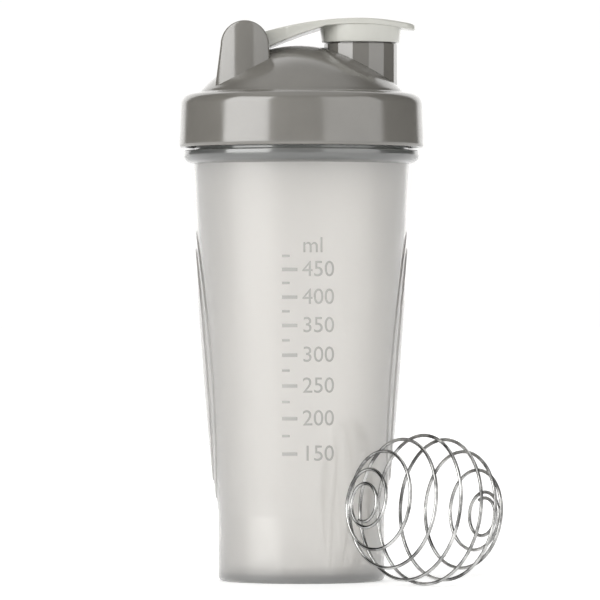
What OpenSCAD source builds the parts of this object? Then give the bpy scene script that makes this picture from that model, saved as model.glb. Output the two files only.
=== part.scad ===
// Shaker bottle with a screw lid, a flip cap over its spout, and a loose wire whisk ball.
// Millimetres. The origin is at the centre of the bottle's foot, +Z is up, and the spout is
// on the +X side of the axis.

/* [Bottle] */
// Radius at the foot
foot_r = 32.8; // [32:0.1:33.5]
// Height of the straight lower part of the wall
foot_h = 27; // [22:1:30]
// Radius where the belly ends and the upper wall starts
belly_r = 41; // [40:0.1:41.4]
// Height where the belly ends
belly_z = 133; // [125:1:140]
// Outward bulge of the belly from a straight line
belly_bulge = 0.9; // [0:0.1:1.2]
// Radius just under the bead
shoulder_r = 42.7; // [42.3:0.1:43]
// Height just under the bead
shoulder_z = 164.2; // [160:0.1:166]
// Thickness of the wall
wall = 1.7; // [1.4:0.1:2]
// Thickness of the floor
floor_t = 3.2; // [2:0.1:4]
// Radius of the corner between wall and foot
foot_corner = 1.8; // [1:0.1:3]

/* [Neck] */
// Largest radius of the bead under the lid
bead_r = 46.4; // [45.5:0.1:46.8]
// Height of the bead's top
bead_top = 169.6; // [169:0.1:170]
// Outer radius of the neck between its threads
neck_r = 42.2; // [42:0.1:42.4]
// Height of the rim
rim_z = 188; // [187:0.1:188]
// Rise of both thread starts in one full turn
thread_lead = 12; // [10:1:14]
// Radius at the crest of the neck's thread
neck_crest_r = 44.6; // [44:0.1:44.8]
// Radius at the crest of the lid's thread
lid_crest_r = 42.8; // [42.7:0.1:43.2]

/* [Grips] */
// Half height of the outer grip panel
grip_half_h = 53; // [45:1:55]
// Half width of the outer grip panel
grip_half_w = 15.6; // [12:0.1:17]
// Height of the middle of the grip panels
grip_z = 85; // [80:1:90]
// Height of each of the two steps of a grip panel
grip_step = 0.45; // [0.2:0.05:0.6]
// Distance from the outer to the inner outline at the panel's sides
grip_side_inset = 4.6; // [3:0.1:6]
// Distance from the outer to the inner outline at the panel's ends
grip_end_inset = 7; // [4:0.5:9]

/* [Lid] */
// Outer radius of the skirt at its lower edge
skirt_r = 48.2; // [48:0.1:49]
// Outer radius of the skirt where the shoulder rounding starts
skirt_top_r = 47.6; // [47.3:0.1:48]
// Height of the skirt's lower edge
skirt_z = 170.8; // [170.4:0.1:171.2]
// Radius of the shoulder rounding
shoulder_round = 4.5; // [3:0.1:5]
// Height of the lid's shoulder
lid_shoulder_z = 192; // [191.5:0.1:192.4]
// Thickness of the skirt and the dome
lid_wall = 2; // [1.6:0.1:2.2]
// Radius of the sphere that the dome is cut from
dome_r = 53; // [52:0.5:55]
// Height of the top of the dome
dome_top = 211; // [210.5:0.1:211.2]

/* [Spout] */
// Distance of the spout's axis from the bottle's axis
spout_x = 23.3; // [22:0.1:24]
// Radius over the edges of the faceted spout
spout_r = 14.4; // [14:0.1:14.6]
// Number of facets
spout_facets = 14; // [14]
// Radius of the bore
spout_bore_r = 11.9; // [11.5:0.1:12.1]
// Height of the spout's mouth
spout_top = 216.8; // [216:0.1:216.8]

/* [Hinge] */
// Distance of the hinge from the bottle's axis, towards the back
hinge_x = -22.2; // [-23:0.1:-22]
// Height of the hinge
hinge_z = 210.5; // [210.4:0.1:211]
// Radius of the top of the two ears
ear_r = 9.5; // [9:0.1:10]
// Radius of the ears' rounded outer sides, seen from above
ear_plan_r = 16.7; // [16:0.1:18]
// Distance from the middle to the centre of that rounding
ear_plan_y = 7; // [6:0.1:7.5]
// Radius of the hinge pin
pin_r = 1.5; // [1.2:0.1:1.8]
// Radial clearance of the cap on the pin
pin_clearance = 0.08; // [0.02:0.01:0.1]

/* [Flip cap] */
// Radius of the arch of the top plate, seen from the side
arch_r = 130; // [125:1:140]
// Distance of the top of the arch from the bottle's axis
arch_x = 22; // [20:0.1:24]
// Height of the top of the arch
arch_top = 221.3; // [221:0.1:222]
// Thickness of the plate
plate_t = 2.4; // [2:0.1:3]
// Radius of the plate over the spout
plate_r = 16.6; // [16.2:0.1:17]
// Radius of the thumb tab's rounded end
tab_r = 9; // [7:0.1:10]
// Distance of the thumb tab's end from the bottle's axis
tab_end_x = 44.8; // [43:0.1:46]
// Half width of the arm between the ears
arm_half_w = 12; // [10:0.1:12]
// Height of the lower edge of the cap's skirt
cap_skirt_z = 212.1; // [212:0.1:212.6]

/* [Whisk ball] */
// Outer radius of the ball, across its axis
ball_r = 29.4; // [28:0.1:30]
// Length of the ball along its axis, as a share of its width
ball_stretch = 1.07; // [1:0.01:1.1]
// Diameter of the wire
wire_d = 1.3; // [1:0.1:1.6]
// Number of turns from pole to pole, with the closed loop at each end
wire_turns = 9.65; // [8:0.05:10]
// Place of the ball beside the bottle
ball_x = 47.5; // [47.5:0.5:60]
// Place of the ball in front of the bottle
ball_y = -43; // [-50:0.5:-43]
// Turn of the ball's axis about the vertical
ball_yaw = 37.7; // [30:0.1:45]
// Dip of the ball's right pole
ball_dip = 6; // [0:0.5:10]

/* [Hidden] */
$fn = 96;
eps = 0.01;
// Longer than any part that it cuts or bounds
reach = 60;

frosted = [0.88, 0.88, 0.86, 0.6];
warm_grey = [0.56, 0.55, 0.52];
light_grey = [0.74, 0.74, 0.71];
silicone = [0.82, 0.82, 0.8];
steel = [0.75, 0.75, 0.76];

// Neck and bottle
inner_foot_r = foot_r - wall;
neck_bore_r = neck_r - wall;
groove_r = 23;
groove_half_w = 3;
groove_depth = 0.8;
inner_corner = 4;
curve_steps = 10;

// Two-start thread: each tooth is a trapezium that fades out at both ends
starts = 2;
tooth_root_w = 2.6;
tooth_tip_w = 1.2;
neck_tooth_turns = 0.75;
lid_tooth_turns = 0.6;
neck_tooth_z = 174.6;
pitch = thread_lead / starts;
// The lid's tooth sits just under the neck's, as it does when the lid is tight
mesh_offset = 0.6 - pitch / 2;
steps_per_turn = 48;
fade_steps = 4;

// Lid
lid_bore_r = 45.9;
dome_z = dome_top - dome_r;
inner_dome_r = dome_r - lid_wall;
crease_r = 40.5;
plug_clearance = 0.6;
plug_wall = 1.6;
plug_outer_r = neck_bore_r - plug_clearance;
plug_inner_r = plug_outer_r - plug_wall;
plug_z = 181;
seal_gap = 0.12;
seal_t = 1.5;
roof_z = rim_z + 2 * seal_gap + seal_t;
seal_inner_r = 40.2;
seal_outer_r = 43.4;
spout_shoulder_z = 211.7;
spout_top_r = 13.4;

// Ears and hinge
ear_plan_x = -21.8;
ear_foot_half = 11;
ear_foot_z = 190;
ear_lean = 1.2;
slot_half_w = arm_half_w + 0.3;
web_inner_x = hinge_x - 7.3;
web_top_z = hinge_z - 2.3;
pin_front_y = -16.5;
pin_back_y = ear_plan_y + ear_plan_r - 0.5;
knuckle_r = 3.4;

// Flip cap
arch_z = arch_top - arch_r;
tab_x = tab_end_x - tab_r;
arm_flare_x = -6;
ceiling_z = 218.2;
cap_skirt_top_r = 16;
cap_skirt_low_r = 15.3;
cap_skirt_bore_r = 14.1;
cap_plug_root_r = 11.4;
cap_plug_tip_r = 10.9;
cap_plug_bore_r = 9.6;
cap_plug_z = 212.8;
washer_t = 1.2;
washer_r = 13.6;
// Underside of the arm, from the knuckle to the cap's skirt
arm_under = [[-20.2, 207.9], [-12.5, 210.2], [-5.5, 213.1], [0.4, 215.3], [7, 217.4], [10, 218.6]];

// Whisk ball
wire_r = wire_d / 2;
path_r = ball_r - wire_r;
wire_sides = 8;
wire_steps = 28;
wire_rings = round(wire_steps * wire_turns);
end_polar = 14;
close_rate = 2.7;
turn_rate = (180 - 2 * end_polar - close_rate * wire_turns) / (wire_turns - 2);
ramp_half = 0.25;
wire_phase = 148.5;

function unit(v) = v / norm(v);

function bezier(p0, c, p1, n) = [
    for (i = [0:n]) let (t = i / n) (1 - t) * (1 - t) * p0 + 2 * t * (1 - t) * c + t * t * p1
];

function arc(cx, cy, r, from, to, n) = [
    for (i = [0:n]) let (a = from + (to - from) * i / n) [cx + r * cos(a), cy + r * sin(a)]
];

// The belly's curve, moved outwards by d
function belly(d) = let (
    low = [foot_r + d, foot_h],
    high = [belly_r + d, belly_z],
    across = unit([high.y - low.y, low.x - high.x])
) bezier(low, (low + high) / 2 + 2 * belly_bulge * across, high, curve_steps);

// The outside of the wall from the foot to the bead, moved outwards by d
function wall_line(d) = concat(belly(d), [[shoulder_r + d, shoulder_z]]);

function reversed(list) = [for (i = [len(list) - 1:-1:0]) list[i]];

module bottle_section() {
    groove_in = groove_r - groove_half_w;
    groove_out = groove_r + groove_half_w;
    polygon(concat(
        [[0, 0], [groove_in, 0], [groove_in + groove_depth, groove_depth]],
        [[groove_out - groove_depth, groove_depth], [groove_out, 0]],
        arc(foot_r - foot_corner, foot_corner, foot_corner, -90, 0, 6),
        wall_line(0),
        bezier([shoulder_r + 0.1, shoulder_z], [bead_r + 0.5, shoulder_z + 1], [bead_r, bead_top - 1], 8),
        [[bead_r - 0.6, bead_top], [neck_r, bead_top]],
        [[neck_r, rim_z - 0.6], [neck_r - 0.6, rim_z], [neck_bore_r + 0.4, rim_z]],
        [[neck_bore_r, rim_z - 0.4], [neck_bore_r, shoulder_z - 3]],
        reversed(belly(-wall)),
        arc(inner_foot_r - inner_corner, floor_t + inner_corner, inner_corner, 0, -90, 6),
        [[0, floor_t]]
    ));
}

// One tooth of a thread, as a trapezium swept along a helix.
// root_r lies inside the wall that carries the tooth, and tip_r is its crest.
module tooth(root_r, tip_r, z0, turns, start_angle) {
    n = round(steps_per_turn * turns);
    function fade(i) = min(1, (i + 0.3) / fade_steps, (n - i + 0.3) / fade_steps);
    function ring(i) = let (
        a = start_angle + 360 * turns * i / n,
        z = z0 + thread_lead * turns * i / n,
        tip = root_r + (tip_r - root_r) * fade(i),
        tip_half = tooth_root_w / 2 + (tooth_tip_w - tooth_root_w) / 2 * fade(i)
    ) [
        for (p = [[root_r, -tooth_root_w / 2], [tip, -tip_half], [tip, tip_half], [root_r, tooth_root_w / 2]])
            [p.x * cos(a), p.x * sin(a), z + p.y]
    ];
    swept([for (i = [0:n]) ring(i)], tip_r > root_r);
}

// A closed solid through a row of rings that all have the same number of points
module swept(rings, flipped) {
    n = len(rings);
    k = len(rings[0]);
    faces = concat(
        [[for (j = [0:k - 1]) j]],
        [[for (j = [k - 1:-1:0]) (n - 1) * k + j]],
        [for (i = [0:n - 2]) for (j = [0:k - 1])
            [i * k + j, (i + 1) * k + j, (i + 1) * k + (j + 1) % k, i * k + (j + 1) % k]]
    );
    polyhedron([for (ring = rings) each ring], flipped ? [for (f = faces) reversed(f)] : faces);
}

module ellipse_outline(half_w, half_h) {
    polygon([for (a = [0:7.5:352.5]) [half_w * cos(a), half_h * sin(a)]]);
}

// One step of a grip panel: the part of a slightly larger bottle wall inside an oval outline
module grip_panel(half_w, half_h, proud) {
    intersection() {
        rotate_extrude()
            polygon(concat(wall_line(proud), reversed(wall_line(-wall / 2))));
        translate([0, 0, grip_z])
            rotate([90, 0, 90])
                linear_extrude(height = reach)
                    ellipse_outline(half_w, half_h);
    }
}

module bottle_body() {
    color(frosted) union() {
        rotate_extrude() bottle_section();
        for (side = [0, 180]) {
            rotate([0, 0, side]) {
                grip_panel(grip_half_w, grip_half_h, grip_step);
                grip_panel(grip_half_w - grip_side_inset, grip_half_h - grip_end_inset, 2 * grip_step);
            }
        }
        for (i = [0:starts - 1])
            tooth(neck_r - wall / 2, neck_crest_r, neck_tooth_z, neck_tooth_turns, 360 * i / starts);
    }
}

module lid_seal() {
    color(silicone)
        translate([0, 0, rim_z + seal_gap])
            difference() {
                cylinder(r = seal_outer_r, h = seal_t);
                translate([0, 0, -eps]) cylinder(r = seal_inner_r, h = seal_t + 2 * eps);
            }
}

module lid_section() {
    crease_angle = acos(crease_r / dome_r);
    inner_angle = acos(plug_inner_r / inner_dome_r);
    round_x = skirt_top_r - shoulder_round;
    round_z = lid_shoulder_z - shoulder_round;
    polygon(concat(
        [[skirt_r - 0.5, skirt_z], [skirt_r, skirt_z + 0.5]],
        arc(round_x, round_z, shoulder_round, 0, 90, 8),
        arc(0, dome_z, dome_r, crease_angle, 90, 12),
        arc(0, dome_z, inner_dome_r, 90, inner_angle, 12),
        [[plug_inner_r, plug_z], [plug_outer_r - 0.5, plug_z], [plug_outer_r, plug_z + 1]],
        [[plug_outer_r, roof_z], [lid_bore_r, roof_z], [lid_bore_r, skirt_z]]
    ));
}

module facet_outline() {
    polygon([
        for (i = [0:spout_facets - 1]) let (a = 360 * i / spout_facets) spout_r * [cos(a), sin(a)]
    ]);
}

// The two ears with the web behind them, as one block with a slot for the arm
module ears() {
    difference() {
        intersection() {
            translate([ear_plan_x, 0, ear_foot_z])
                linear_extrude(height = reach)
                    hull()
                        for (side = [-1, 1]) translate([0, side * ear_plan_y]) circle(r = ear_plan_r);
            rotate([90, 0, 0])
                linear_extrude(height = reach, center = true) {
                    translate([hinge_x, hinge_z]) circle(r = ear_r);
                    polygon([
                        [hinge_x - ear_r, hinge_z],
                        [hinge_x - ear_foot_half - ear_lean, ear_foot_z],
                        [hinge_x + ear_foot_half, ear_foot_z],
                        [hinge_x + ear_r, hinge_z]
                    ]);
                }
        }
        translate([web_inner_x, -slot_half_w, ear_foot_z - eps])
            cube([reach, 2 * slot_half_w, reach]);
        translate([web_inner_x - reach, -slot_half_w, web_top_z])
            cube([2 * reach, 2 * slot_half_w, reach]);
    }
}

module lid() {
    color(warm_grey) union() {
        difference() {
            union() {
                rotate_extrude() lid_section();
                difference() {
                    union() {
                        ears();
                        translate([spout_x, 0, ear_foot_z])
                            linear_extrude(height = spout_shoulder_z - ear_foot_z)
                                facet_outline();
                        translate([spout_x, 0, ear_foot_z])
                            cylinder(r = spout_top_r, h = spout_top - ear_foot_z);
                    }
                    // Nothing of the ears or the spout reaches below the dome
                    translate([0, 0, dome_z]) sphere(r = inner_dome_r + lid_wall / 2);
                }
            }
            translate([spout_x, 0, ear_foot_z])
                cylinder(r = spout_bore_r, h = reach);
            translate([hinge_x, pin_front_y + reach, hinge_z])
                rotate([90, 0, 0])
                    cylinder(r = pin_r, h = reach);
        }
        for (i = [0:starts - 1])
            tooth(lid_bore_r + lid_wall / 2, lid_crest_r, neck_tooth_z + mesh_offset, lid_tooth_turns,
                360 * i / starts);
    }
}

module hinge_pin() {
    color(steel)
        translate([hinge_x, pin_back_y, hinge_z])
            rotate([90, 0, 0])
                cylinder(r = pin_r, h = pin_back_y - pin_front_y);
}

// Two circles on the X axis joined by their common tangents
module joined_circles(x1, r1, x2, r2) {
    tilt = asin((r1 - r2) / (x2 - x1));
    translate([x1, 0]) circle(r = r1);
    translate([x2, 0]) circle(r = r2);
    polygon([
        [x1 + r1 * sin(tilt), r1 * cos(tilt)],
        [x2 + r2 * sin(tilt), r2 * cos(tilt)],
        [x2 + r2 * sin(tilt), -r2 * cos(tilt)],
        [x1 + r1 * sin(tilt), -r1 * cos(tilt)]
    ]);
}

module cap_plan() {
    joined_circles(spout_x, plate_r, tab_x, tab_r);
    mirror([1, 0]) joined_circles(-spout_x, plate_r, -arm_flare_x, arm_half_w);
    translate([hinge_x - knuckle_r, -arm_half_w])
        square([arm_flare_x - hinge_x + knuckle_r, 2 * arm_half_w]);
}

// Plate and arm from the side: the arch, less what lies under the plate and the arm
module cap_side() {
    intersection() {
        translate([arch_x, arch_z]) circle(r = arch_r, $fn = 360);
        polygon(concat(
            arm_under,
            [[reach, arm_under[5].y], [reach, arch_top + 1], [hinge_x, arch_top + 1], [hinge_x, hinge_z]]
        ));
    }
    difference() {
        intersection() {
            translate([arch_x, arch_z]) circle(r = arch_r, $fn = 360);
            translate([spout_x, cap_skirt_z]) square([reach, arch_top]);
        }
        translate([arch_x, arch_z]) circle(r = arch_r - plate_t, $fn = 360);
    }
    translate([hinge_x, hinge_z]) circle(r = knuckle_r);
}

module flip_cap() {
    color(light_grey) difference() {
        union() {
            intersection() {
                linear_extrude(height = arch_top + 1) cap_plan();
                rotate([90, 0, 0]) linear_extrude(height = reach, center = true) cap_side();
            }
            translate([spout_x, 0, 0])
                rotate_extrude()
                    polygon([
                        [0, ceiling_z + 1], [0, ceiling_z],
                        [cap_plug_bore_r, ceiling_z], [cap_plug_bore_r, cap_plug_z],
                        [cap_plug_tip_r, cap_plug_z], [cap_plug_root_r, spout_top],
                        [cap_plug_root_r, ceiling_z],
                        [cap_skirt_bore_r, ceiling_z], [cap_skirt_bore_r, cap_skirt_z],
                        [cap_skirt_low_r, cap_skirt_z], [cap_skirt_top_r, ceiling_z],
                        [cap_skirt_top_r, ceiling_z + 1]
                    ]);
        }
        translate([hinge_x, 0, hinge_z])
            rotate([90, 0, 0])
                cylinder(r = pin_r + pin_clearance, h = reach, center = true);
    }
}

module spout_seal() {
    color(silicone)
        translate([spout_x, 0, ceiling_z - washer_t])
            difference() {
                cylinder(r = washer_r, h = washer_t);
                translate([0, 0, -eps]) cylinder(r = cap_plug_root_r, h = washer_t + 2 * eps);
            }
}

// Angle from the pole after u turns: slow in the closed loop at each end, steady between them
function ramp(x) = x <= -ramp_half ? 0 : x >= ramp_half ? x : pow(x + ramp_half, 2) / (4 * ramp_half);
function polar(u) = end_polar + close_rate * u + turn_rate * (ramp(u - 1) - ramp(u - wire_turns + 1));
function wire_point(u) = let (p = polar(u), a = 360 * u + wire_phase)
    path_r * [sin(p) * cos(a), sin(p) * sin(a), ball_stretch * cos(p)];
function wire_ring(u) = let (
    p = wire_point(u),
    out = unit(p),
    along = unit(wire_point(u + eps) - wire_point(u - eps)),
    side = cross(along, out)
) [
    for (k = [0:wire_sides - 1]) let (a = 360 * k / wire_sides) p + wire_r * (cos(a) * out + sin(a) * side)
];

module whisk_ball() {
    color(steel)
        translate([ball_x, ball_y, ball_r])
            rotate([0, 90 + ball_dip, ball_yaw])
                swept([for (i = [0:wire_rings]) wire_ring(wire_turns * i / wire_rings)], false);
}

bottle_body();
lid_seal();
lid();
hinge_pin();
flip_cap();
spout_seal();
whisk_ball();
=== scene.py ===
"""Shaker bottle with a screw lid, a flip cap and a loose whisk ball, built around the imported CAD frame.

The CAD frame gives the bodies. Every visible piece is a finer mesh of the same size as its CAD node.
Lengths inside the mesh functions are in millimetres, and scaled to metres when a mesh is made.
"""

import math

import bmesh
import bpy
from mathutils import Matrix, Vector


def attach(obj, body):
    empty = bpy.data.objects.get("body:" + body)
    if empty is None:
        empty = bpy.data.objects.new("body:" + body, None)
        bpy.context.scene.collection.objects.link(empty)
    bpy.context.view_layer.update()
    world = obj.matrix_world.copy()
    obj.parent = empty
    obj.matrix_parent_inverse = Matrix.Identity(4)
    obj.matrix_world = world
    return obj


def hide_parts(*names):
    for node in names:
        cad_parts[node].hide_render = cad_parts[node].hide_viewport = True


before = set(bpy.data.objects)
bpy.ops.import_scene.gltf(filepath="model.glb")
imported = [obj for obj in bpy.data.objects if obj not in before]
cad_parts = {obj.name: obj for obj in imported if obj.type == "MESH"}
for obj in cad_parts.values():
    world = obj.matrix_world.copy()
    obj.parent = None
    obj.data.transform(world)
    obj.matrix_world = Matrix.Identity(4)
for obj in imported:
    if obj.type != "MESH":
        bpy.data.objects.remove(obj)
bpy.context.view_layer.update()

MM = 0.001
TAU = 2 * math.pi
scene = bpy.context.scene

# ---------------------------------------------------------------- dimensions, as in the CAD source

FOOT_R, FOOT_H, FOOT_CORNER = 32.8, 27.0, 1.8
BELLY_R, BELLY_Z, BELLY_BULGE = 41.0, 133.0, 0.9
SHOULDER_R, SHOULDER_Z = 42.7, 164.2
WALL, FLOOR_T, INNER_CORNER = 1.7, 3.2, 4.0
BEAD_R, BEAD_TOP = 46.4, 169.6
NECK_R, RIM_Z = 42.2, 188.0
NECK_BORE_R = NECK_R - WALL
GROOVE_IN, GROOVE_OUT, GROOVE_DEPTH = 20.0, 26.0, 0.8

THREAD_LEAD, THREAD_STARTS = 12.0, 2
TOOTH_ROOT_W, TOOTH_TIP_W = 2.6, 1.2
NECK_TOOTH_Z, NECK_TOOTH_TURNS, NECK_CREST_R = 174.6, 0.75, 44.6
LID_TOOTH_Z, LID_TOOTH_TURNS, LID_CREST_R, LID_TOOTH_ROOT_HALF = 172.2, 0.6, 42.8, 1.13

GRIP_Z, GRIP_STEP = 85.0, 0.45
GRIP_OUTER, GRIP_INNER = (15.6, 53.0), (11.0, 46.0)

SKIRT_R, SKIRT_TOP_R, SKIRT_Z = 48.2, 47.6, 170.8
SHOULDER_ROUND, LID_SHOULDER_Z = 4.5, 192.0
DOME_R, DOME_Z = 53.0, 158.0
INNER_DOME_R = 51.0
ROOT_R = 52.0  # sphere inside the dome's wall, where the ears, the web and the spout are rooted
CREASE_R = 40.5
LID_BORE_R, ROOF_Z = 45.9, 189.74
PLUG_OUT_R, PLUG_IN_R, PLUG_Z = 39.9, 38.3, 181.0

SPOUT_X, SPOUT_R, SPOUT_FACETS, FACET_ROUND = 23.3, 14.4, 14, 1.4
SPOUT_HOLE_R = 13.0  # hole in the dome that the spout is joined through
SPOUT_BORE_R, SPOUT_SHOULDER_Z, SPOUT_TOP_R, SPOUT_TOP = 11.9, 211.7, 13.4, 216.8

HINGE_X, HINGE_Z = -22.2, 210.5
EAR_R, EAR_PLAN_X, EAR_PLAN_Y, EAR_PLAN_R = 9.5, -21.8, 7.0, 16.7
EAR_DROP, EAR_SPREAD, EAR_LEAN = 20.5, 1.5, 2.7
SLOT_HALF_W, WEB_INNER_X, WEB_TOP_Z = 12.3, -29.5, 208.2
PIN_R, PIN_FRONT_Y, PIN_BACK_Y = 1.5, -16.5, 23.2
KNUCKLE_R = 3.4

ARCH_R, ARCH_X, ARCH_Z, PLATE_T = 130.0, 22.0, 91.3, 2.4
PLATE_R, TAB_R, TAB_END_X = 16.6, 9.0, 44.8
ARM_HALF_W, ARM_FLARE_X = 12.0, -6.0
CEILING_Z, CAP_SKIRT_Z, CAP_BORE_R = 218.2, 212.1, 14.1
CAP_PLUG_IN_R, CAP_PLUG_OUT_R, CAP_PLUG_Z = 9.6, 11.4, 212.8
PIN_CLEARANCE = 0.08
ARM_UNDER = [(-20.2, 207.9), (-12.5, 210.2), (-5.5, 213.1), (0.4, 215.3), (7.0, 217.4), (10.0, 218.6)]

WIRE_R, WIRE_TURNS, BALL_R, BALL_STRETCH = 0.65, 9.65, 29.4, 1.07
END_POLAR, CLOSE_RATE, RAMP_HALF, WIRE_PHASE = 14.0, 2.7, 0.25, 148.5
BALL_AT, BALL_YAW, BALL_DIP = (47.5, -43.0, 29.4), 37.7, 6.0

SCALE_FROM, SCALE_TO, SCALE_STEP = 150, 475, 25  # ml; every second line has its figure
TICK_LEFT, TICK_RIGHT, SHORT_TICK_RIGHT, FIGURE_LEFT = -7.6, -1.6, -4.6, 0.2
FIGURE_SIZE, UNIT_RISE = 8.6, 4.0
INK_OUT, INK_IN = 0.06, 0.04


# ---------------------------------------------------------------- mesh helpers

WELD, DEGENERATE = 1e-6, 1e-7  # metres


def metre_mesh(name, verts, faces):
    """A mesh from points in millimetres."""
    mesh = bpy.data.meshes.new(name)
    mesh.from_pydata([(x * MM, y * MM, z * MM) for x, y, z in verts], [], faces)
    return mesh


def linked(name, data):
    obj = bpy.data.objects.new(name, data)
    scene.collection.objects.link(obj)
    return obj


def piece(name, solid, body, nodes, material, smooth_angle=40):
    """A closed mesh piece from points in millimetres, riding on a body and standing for CAD nodes."""
    mesh = metre_mesh(name, *solid)
    bm = bmesh.new()
    bm.from_mesh(mesh)
    bmesh.ops.remove_doubles(bm, verts=bm.verts, dist=WELD)
    bmesh.ops.dissolve_degenerate(bm, edges=bm.edges, dist=DEGENERATE)
    bmesh.ops.delete(bm, geom=[e for e in bm.edges if e.is_wire], context="EDGES")
    bmesh.ops.recalc_face_normals(bm, faces=bm.faces)
    bm.to_mesh(mesh)
    bm.free()
    obj = linked(name, mesh)
    mesh.materials.append(material)
    shade(mesh, smooth_angle)
    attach(obj, body)
    if nodes:
        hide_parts(*nodes)


def shade(mesh, smooth_angle):
    """Smooth faces, with edges sharper than the angle kept sharp."""
    for poly in mesh.polygons:
        poly.use_smooth = True
    mesh.set_sharp_from_angle(angle=math.radians(smooth_angle))


def bezier(p0, c, p1, n):
    """n + 1 points on the curve from p0 to p1 that is pulled towards c."""
    out = []
    for i in range(n + 1):
        t = i / n
        out.append(tuple((1 - t) ** 2 * a + 2 * t * (1 - t) * b + t * t * d
                         for a, b, d in zip(p0, c, p1)))
    return out


def arc(cx, cy, r, start, end, n):
    """Points on an arc, angles in degrees."""
    out = []
    for i in range(n + 1):
        a = math.radians(start + (end - start) * i / n)
        out.append((cx + r * math.cos(a), cy + r * math.sin(a)))
    return out


def rounded(points, r, n=4):
    """A closed outline with its corners rounded."""
    out = []
    count = len(points)
    for i, p in enumerate(points):
        v = Vector(p)
        a = Vector(points[i - 1]) - v
        b = Vector(points[(i + 1) % count]) - v
        half = a.angle(b) / 2
        cut = min(r / math.tan(half), a.length * 0.49, b.length * 0.49)
        out += bezier(tuple(v + a.normalized() * cut), tuple(v), tuple(v + b.normalized() * cut), n)
    return out


def revolve(profile, segments, centre=(0.0, 0.0), radius=None):
    """Verts and faces of a closed (r, z) outline turned about the vertical through centre.

    radius(angle, index, r, z), if given, returns the point's own (r, z) at that angle.
    """
    k = len(profile)
    verts, faces = [], []
    for s in range(segments):
        a = TAU * s / segments
        for j, (r, z) in enumerate(profile):
            if radius:
                r, z = radius(a, j, r, z)
            verts.append((centre[0] + r * math.cos(a), centre[1] + r * math.sin(a), z))
    for s in range(segments):
        t = (s + 1) % segments
        for j in range(k):
            u = (j + 1) % k
            faces.append((s * k + j, t * k + j, t * k + u, s * k + u))
    return verts, faces


def swept(rings):
    """Verts and faces of a closed solid through rings that have the same number of points."""
    n, k = len(rings), len(rings[0])
    verts = [tuple(p) for ring in rings for p in ring]
    faces = [tuple(range(k)), tuple(reversed(range((n - 1) * k, n * k)))]
    for i in range(n - 1):
        for j in range(k):
            m = (j + 1) % k
            faces.append((i * k + j, (i + 1) * k + j, (i + 1) * k + m, i * k + m))
    return verts, faces


def joined(*solids):
    """Several (verts, faces) as one."""
    verts, faces = [], []
    for v, f in solids:
        base = len(verts)
        verts += v
        faces += [tuple(i + base for i in face) for face in f]
    return verts, faces


def smoothstep(x):
    x = min(1.0, max(0.0, x))
    return x * x * (3 - 2 * x)


def scratch(name, solid):
    """A throwaway object, used as a boolean operand."""
    mesh = metre_mesh(name, *solid)
    bm = bmesh.new()
    bm.from_mesh(mesh)
    bmesh.ops.remove_doubles(bm, verts=bm.verts, dist=WELD)
    bmesh.ops.recalc_face_normals(bm, faces=bm.faces)
    bm.to_mesh(mesh)
    bm.free()
    return linked(name, mesh)


def boolean(target, tools, operation):
    """Applies exact booleans to target with scratch objects, which are then removed."""
    for tool in tools:
        mod = target.modifiers.new("cut", "BOOLEAN")
        mod.operation = operation
        mod.solver = "EXACT"
        mod.object = tool
        dg = bpy.context.evaluated_depsgraph_get()
        mesh = bpy.data.meshes.new_from_object(target.evaluated_get(dg))
        target.modifiers.clear()
        old = target.data
        target.data = mesh
        bpy.data.meshes.remove(old)
        bpy.data.objects.remove(tool, do_unlink=True)


def taken(obj):
    """The verts and faces of a scratch object, in millimetres; the object is removed."""
    verts = [tuple(c / MM for c in v.co) for v in obj.data.vertices]
    faces = [tuple(p.vertices) for p in obj.data.polygons]
    bpy.data.objects.remove(obj, do_unlink=True)
    return verts, faces


# ---------------------------------------------------------------- materials

def nodes_of(name):
    mat = bpy.data.materials.new(name)
    mat.use_nodes = True
    tree = mat.node_tree
    shader = tree.nodes["Principled BSDF"]
    coords = tree.nodes.new("ShaderNodeTexCoord")
    return mat, tree, shader, coords.outputs["Object"]


def noise(tree, coords, scale, detail=3.0, roughness=0.55, stretch=(1, 1, 1)):
    mapping = tree.nodes.new("ShaderNodeMapping")
    mapping.inputs["Scale"].default_value = stretch
    tex = tree.nodes.new("ShaderNodeTexNoise")
    tex.inputs["Scale"].default_value = scale
    tex.inputs["Detail"].default_value = detail
    tex.inputs["Roughness"].default_value = roughness
    tree.links.new(coords, mapping.inputs["Vector"])
    tree.links.new(mapping.outputs["Vector"], tex.inputs["Vector"])
    return tex.outputs["Fac"]


def spread(tree, value, low, high, start=0.3, end=0.7):
    """Maps a noise value to a range."""
    node = tree.nodes.new("ShaderNodeMapRange")
    node.inputs["From Min"].default_value = start
    node.inputs["From Max"].default_value = end
    node.inputs["To Min"].default_value = low
    node.inputs["To Max"].default_value = high
    tree.links.new(value, node.inputs["Value"])
    return node.outputs["Result"]


def two_tone(tree, value, dark, light, start=0.35, end=0.65):
    ramp = tree.nodes.new("ShaderNodeValToRGB")
    ramp.color_ramp.elements[0].position = start
    ramp.color_ramp.elements[1].position = end
    ramp.color_ramp.elements[0].color = (*dark, 1)
    ramp.color_ramp.elements[1].color = (*light, 1)
    tree.links.new(value, ramp.inputs["Fac"])
    return ramp.outputs["Color"]


def bump(tree, shader, value, strength, distance):
    node = tree.nodes.new("ShaderNodeBump")
    node.inputs["Strength"].default_value = strength
    node.inputs["Distance"].default_value = distance
    tree.links.new(value, node.inputs["Height"])
    tree.links.new(node.outputs["Normal"], shader.inputs["Normal"])


def shaded(colour, factor):
    return tuple(c * factor for c in colour)


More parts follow.
